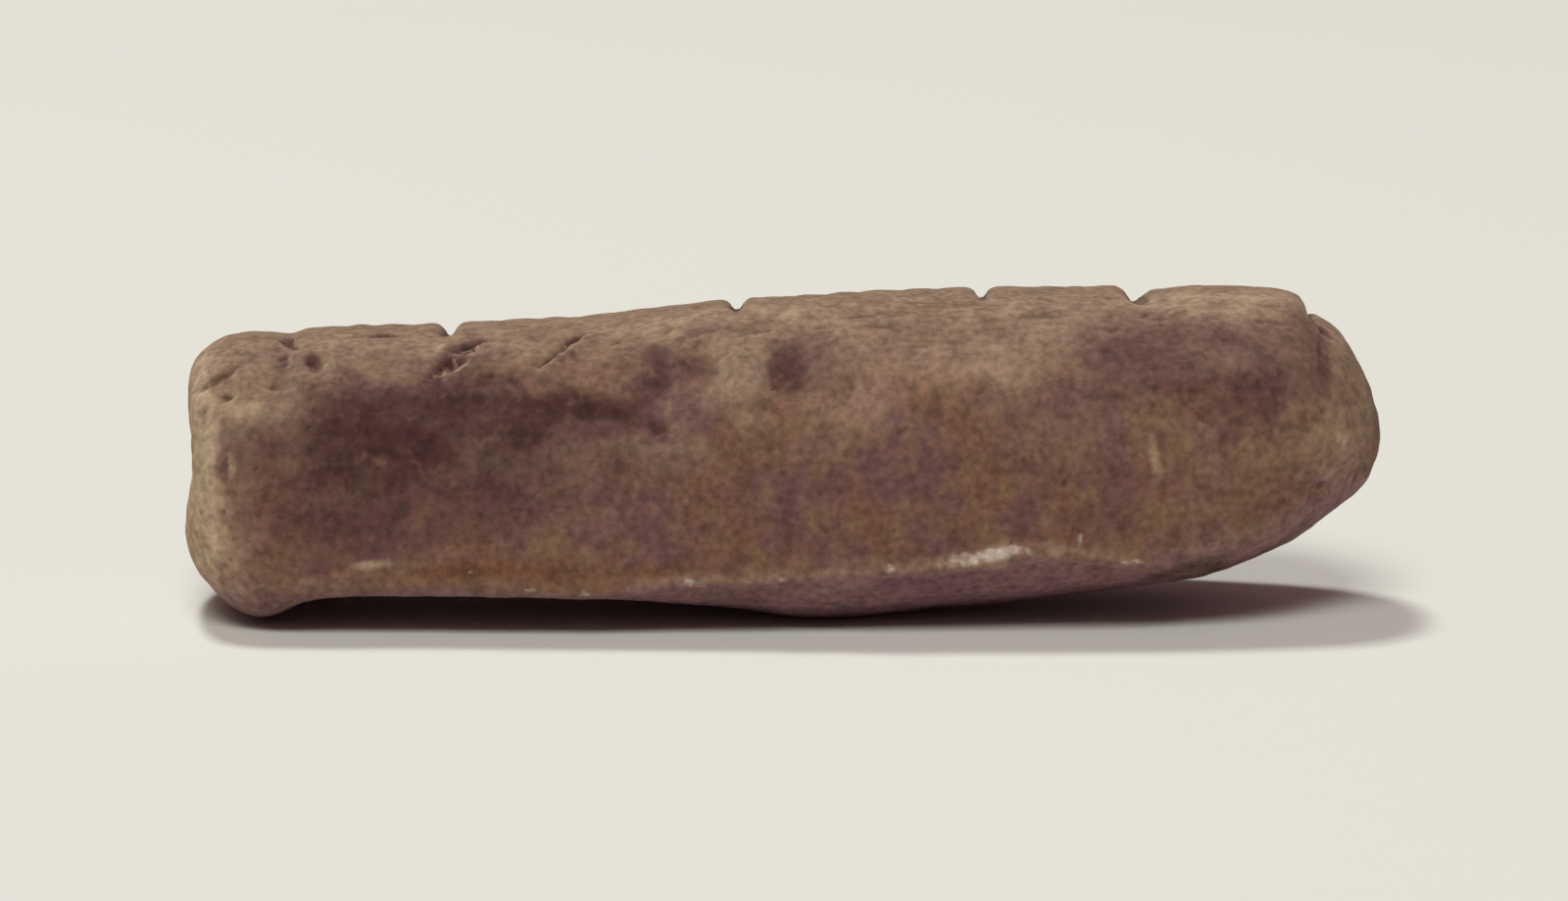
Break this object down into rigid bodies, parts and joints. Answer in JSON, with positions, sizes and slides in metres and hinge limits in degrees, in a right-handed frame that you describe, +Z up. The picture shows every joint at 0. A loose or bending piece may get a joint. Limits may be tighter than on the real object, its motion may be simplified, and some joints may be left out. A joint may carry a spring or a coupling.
{
  "type": "cylinder seal",
  "caption": "Small bar-shaped fired clay seal with a rounded, scored crown, flat sides, one squared end and one rounded nose.",
  "frame": {"origin": "on the ground below the middle of the seal's box", "axes": "+X along the seal's length towards its rounded nose, +Z up out of its scored crown, -Y towards the side with the furrows"},
  "size_m": [0.05, 0.0156, 0.0134],
  "materials": {
    "fired_clay": "matt low-fired clay, smoke-darkened in patches, buff on the worn crown"
  },
  "bodies": {
    "root": {"seal_body": "fired_clay"}
  },
  "joints": []
}
